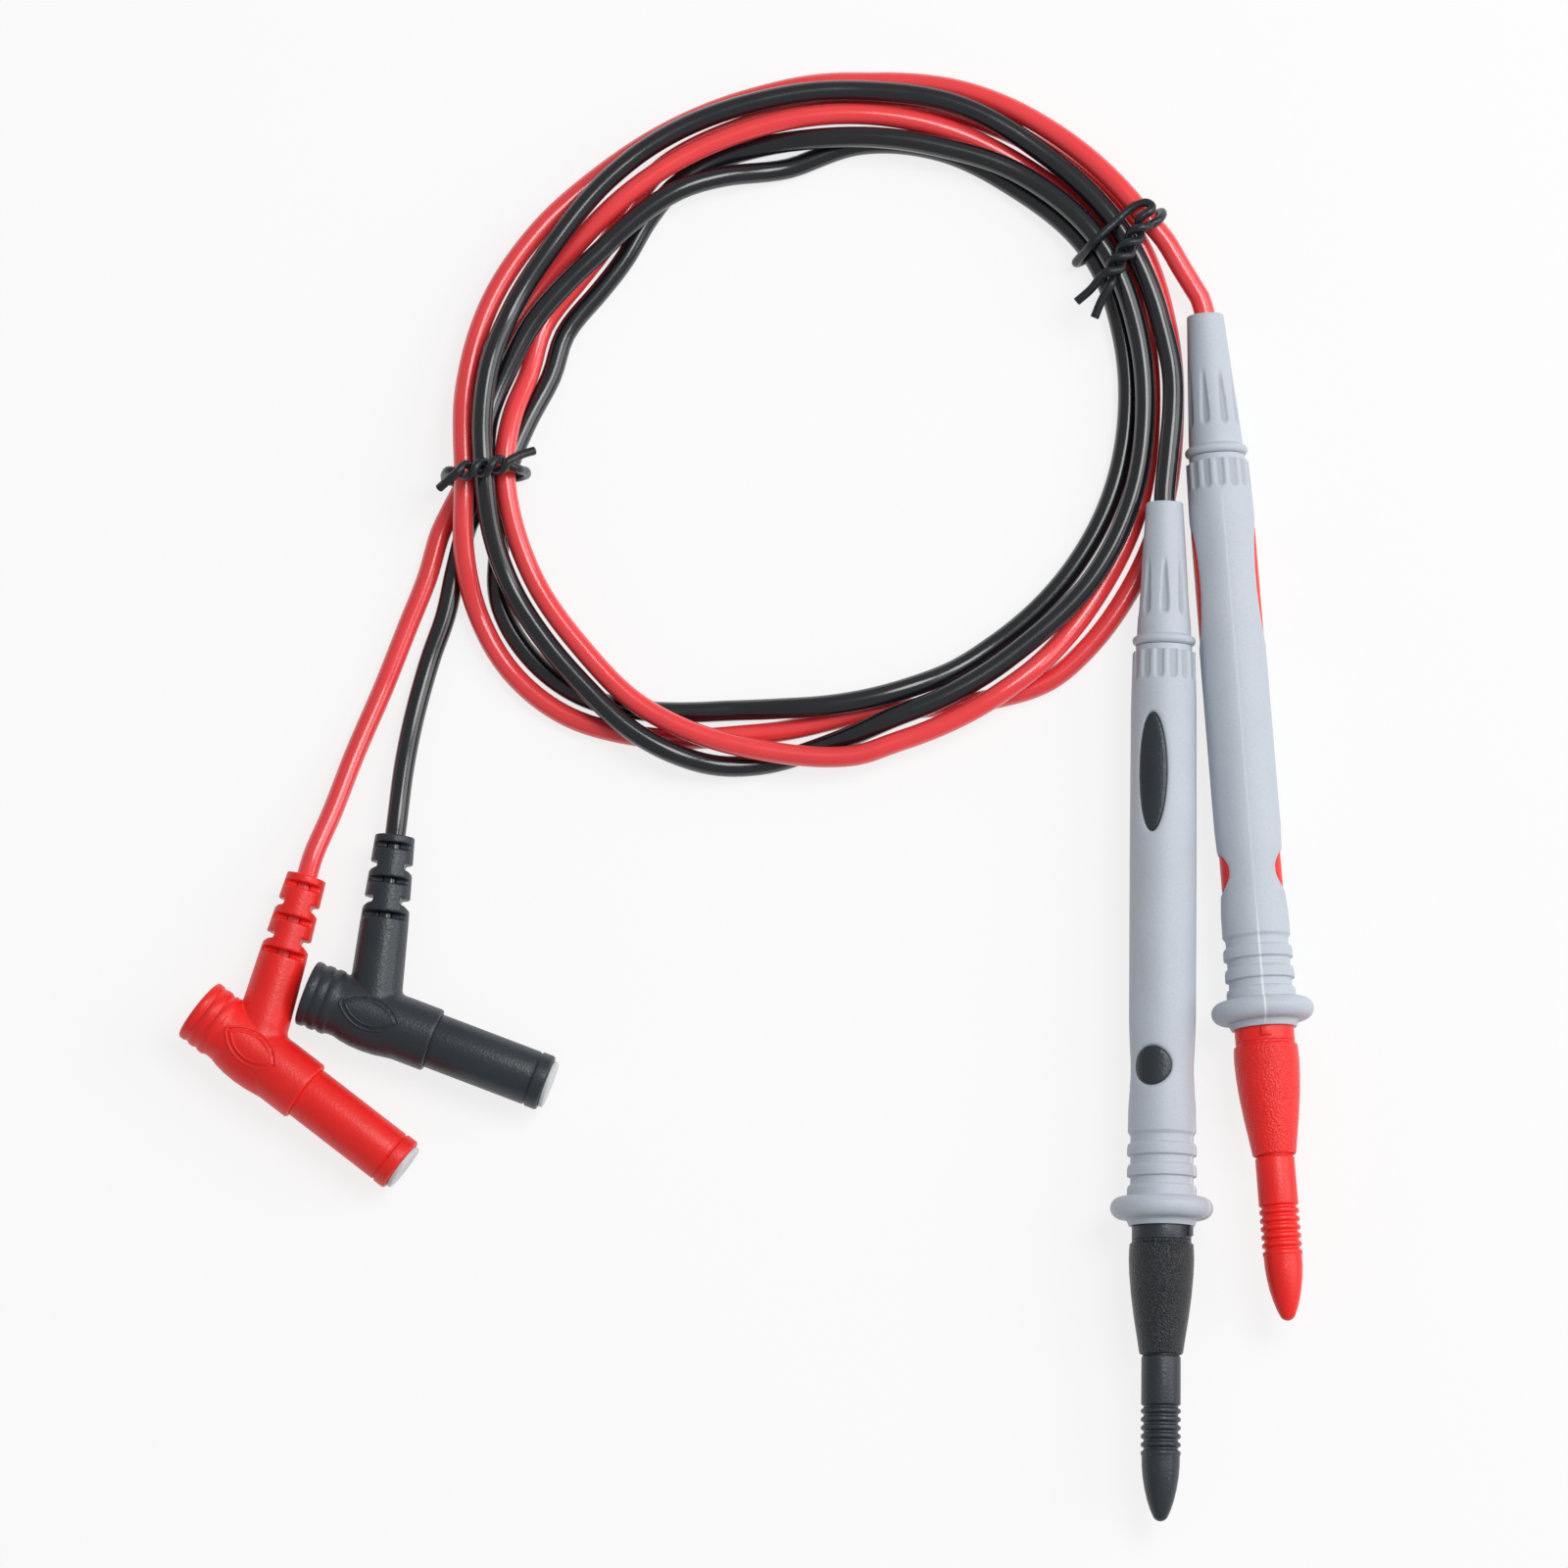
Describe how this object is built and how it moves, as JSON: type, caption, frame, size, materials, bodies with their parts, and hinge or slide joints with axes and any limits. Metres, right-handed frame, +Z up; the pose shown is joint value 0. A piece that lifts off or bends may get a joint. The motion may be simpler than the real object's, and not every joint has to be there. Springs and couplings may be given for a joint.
{
  "type": "multimeter test lead pair",
  "caption": "Test lead set: two needle probes with finger guards and slide-off tip covers, leads coiled in twist ties, right-angle shrouded 4 mm plugs with pull-out pin guards.",
  "frame": {"origin": "centre of the two probes' box on the surface that the set lies on, in the gap between the probes", "axes": "+Z up from the surface, +Y along the probes from the needle tips towards the tails, +X from the coil towards the probes"},
  "size_m": [0.1929, 0.2509, 0.0175],
  "materials": {
    "grey_grip": "satin",
    "black_plastic": "satin",
    "red_plastic": "satin",
    "black_jacket": "soft PVC, semi-gloss",
    "red_jacket": "soft PVC, semi-gloss",
    "natural_plastic": "natural polyethylene",
    "tie_plastic": "PVC over wire",
    "nickel": "plated",
    "brass": "turned",
    "copper": "stranded"
  },
  "bodies": {
    "lead_set": {"black_tail_sleeve": "grey_grip", "black_grip": "grey_grip", "black_handle_core": "black_plastic", "black_needle_crimp": "brass", "black_needle": "nickel", "black_nose_cone": "black_plastic", "black_lead": "black_jacket", "black_probe_strands": "copper", "black_plug_strands": "copper", "black_plug_body": "black_plastic", "black_plug_shroud": "black_plastic", "black_banana_pin": "nickel", "black_contact_spring": "nickel", "red_tail_sleeve": "grey_grip", "red_grip": "grey_grip", "red_handle_core": "red_plastic", "red_needle_crimp": "brass", "red_needle": "nickel", "red_nose_cone": "red_plastic", "red_lead": "red_jacket", "red_probe_strands": "copper", "red_plug_strands": "copper", "red_plug_body": "red_plastic", "red_plug_shroud": "red_plastic", "red_banana_pin": "nickel", "red_contact_spring": "nickel", "left_tie": "tie_plastic", "right_tie": "tie_plastic"},
    "black_cover": {"black_tip_cover": "black_plastic"},
    "red_cover": {"red_tip_cover": "red_plastic"},
    "black_guard": {"black_pin_guard": "natural_plastic"},
    "red_guard": {"red_pin_guard": "natural_plastic"}
  },
  "joints": [
    {"name": "black_cover_slide", "type": "slide", "parent": "lead_set", "child": "black_cover", "axis": [-0.0105, -0.9999, 0.0091], "range_m": [0, 0.03]},
    {"name": "red_cover_slide", "type": "slide", "parent": "lead_set", "child": "red_cover", "axis": [0.0723, -0.9968, 0.0332], "range_m": [0, 0.03]},
    {"name": "black_guard_slide", "type": "slide", "parent": "lead_set", "child": "black_guard", "axis": [0.9342, -0.3567, 0], "range_m": [0, 0.02]},
    {"name": "red_guard_slide", "type": "slide", "parent": "lead_set", "child": "red_guard", "axis": [0.7912, -0.6115, 0], "range_m": [0, 0.02]}
  ]
}
